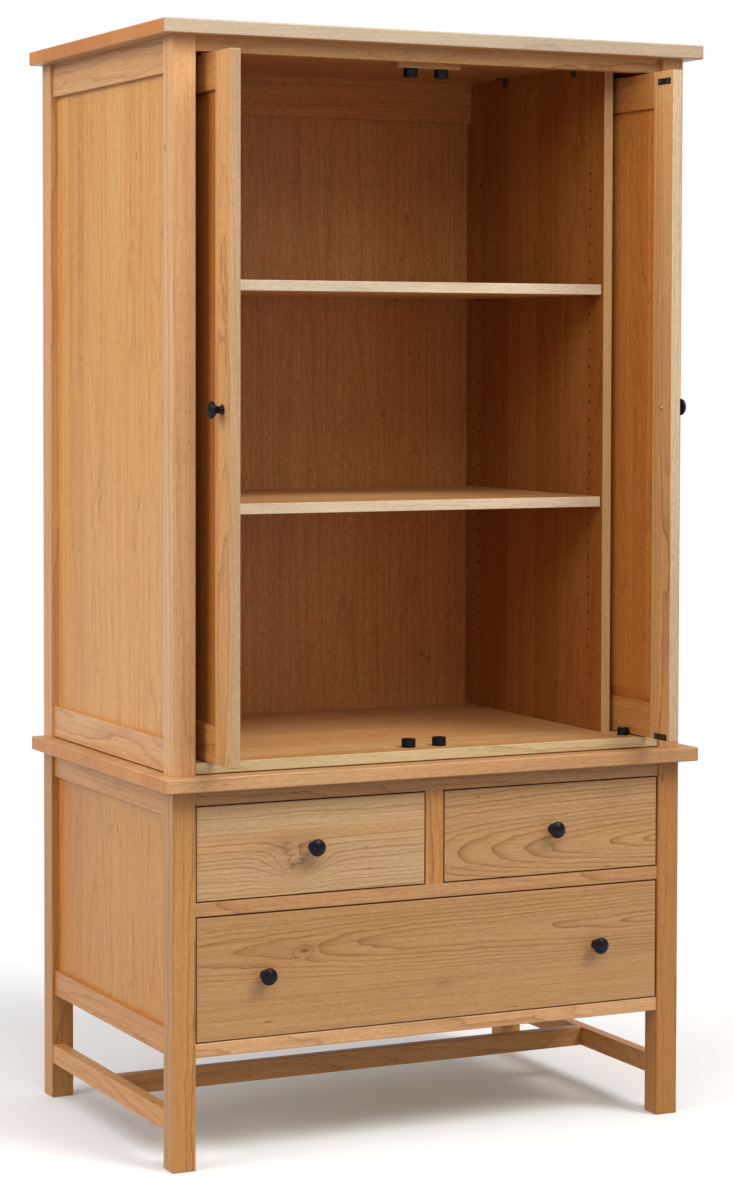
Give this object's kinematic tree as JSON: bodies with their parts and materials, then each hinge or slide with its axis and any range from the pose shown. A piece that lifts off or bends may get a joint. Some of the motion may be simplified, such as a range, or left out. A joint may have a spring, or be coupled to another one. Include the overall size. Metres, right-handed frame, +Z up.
{
  "type": "armoire",
  "caption": "Tall wooden armoire: shelves behind retracting pocket doors, over a low chest of drawers on square legs.",
  "frame": {"origin": "on the floor, under the middle of the overall box with both doors pushed in", "axes": "+Z up; the open front faces -Y; +X is the right side seen from the front"},
  "size_m": [1.042, 0.722, 1.93],
  "materials": {
    "cherry": "satin clear finish",
    "cherry_interior": "satin clear finish",
    "drawer_wood": "satin clear finish",
    "black_plastic": "smooth semi-gloss",
    "black_metal": "satin black",
    "steel": "zinc plated"
  },
  "bodies": {
    "case": {"legs": "cherry", "waist_board": "cherry", "chest_top_rail": "cherry", "chest_middle_rail": "cherry", "chest_bottom_rail": "cherry", "drawer_divider": "cherry", "chest_side_rails": "cherry", "chest_side_panels": "cherry", "chest_back_frame": "cherry", "chest_back_panels": "cherry_interior", "side_stretchers": "cherry", "centre_stretcher": "cherry", "drawer_runners": "drawer_wood", "drawer_guides": "drawer_wood", "posts": "cherry", "top_board": "cherry", "upper_front_rail": "cherry", "upper_side_rails": "cherry", "upper_side_panels": "cherry", "case_floor": "cherry_interior", "left_partition": "cherry_interior", "right_partition": "cherry_interior", "upper_back_frame": "cherry_interior", "upper_back_panel": "cherry_interior", "upper_shelf": "cherry_interior", "lower_shelf": "cherry_interior", "shelf_pins": "black_metal", "catch_cleat": "cherry", "door_catches": "black_plastic", "partition_clips": "black_metal", "roller_pins": "steel", "door_tracks": "steel"},
    "left_roller": {"left_guide_roller": "black_plastic"},
    "right_roller": {"right_guide_roller": "black_plastic"},
    "left_door": {"left_door_stiles": "cherry", "left_door_rails": "cherry", "left_door_panel": "cherry", "left_door_knob": "black_plastic", "left_door_strikes": "black_metal", "left_door_hinges": "steel", "left_door_carriage": "drawer_wood"},
    "right_door": {"right_door_stiles": "cherry", "right_door_rails": "cherry", "right_door_panel": "cherry", "right_door_knob": "black_plastic", "right_door_strikes": "black_metal", "right_door_hinges": "steel", "right_door_carriage": "drawer_wood"},
    "left_drawer": {"left_drawer_front": "cherry", "left_drawer_box": "drawer_wood", "left_drawer_bottom": "drawer_wood", "left_drawer_knob": "black_plastic"},
    "right_drawer": {"right_drawer_front": "cherry", "right_drawer_box": "drawer_wood", "right_drawer_bottom": "drawer_wood", "right_drawer_knob": "black_plastic"},
    "wide_drawer": {"wide_drawer_front": "cherry", "wide_drawer_box": "drawer_wood", "wide_drawer_bottom": "drawer_wood", "wide_drawer_knobs": "black_plastic"}
  },
  "joints": [
    {"name": "left_door_slide", "type": "slide", "parent": "case", "child": "left_door", "axis": [0, -1, 0], "range_m": [0, 0.337]},
    {"name": "right_door_slide", "type": "slide", "parent": "case", "child": "right_door", "axis": [0, -1, 0], "range_m": [0, 0.337]},
    {"name": "left_drawer_slide", "type": "slide", "parent": "case", "child": "left_drawer", "axis": [0, -1, 0], "range_m": [0, 0.42]},
    {"name": "right_drawer_slide", "type": "slide", "parent": "case", "child": "right_drawer", "axis": [0, -1, 0], "range_m": [0, 0.42]},
    {"name": "wide_drawer_slide", "type": "slide", "parent": "case", "child": "wide_drawer", "axis": [0, -1, 0], "range_m": [0, 0.42]},
    {"name": "left_roller_spin", "type": "hinge", "parent": "case", "child": "left_roller", "pos_m": [-0.4025, -0.223, 0.6975], "axis": [0, 0, 1], "continuous": true},
    {"name": "right_roller_spin", "type": "hinge", "parent": "case", "child": "right_roller", "pos_m": [0.4025, -0.223, 0.6975], "axis": [0, 0, 1], "continuous": true}
  ]
}
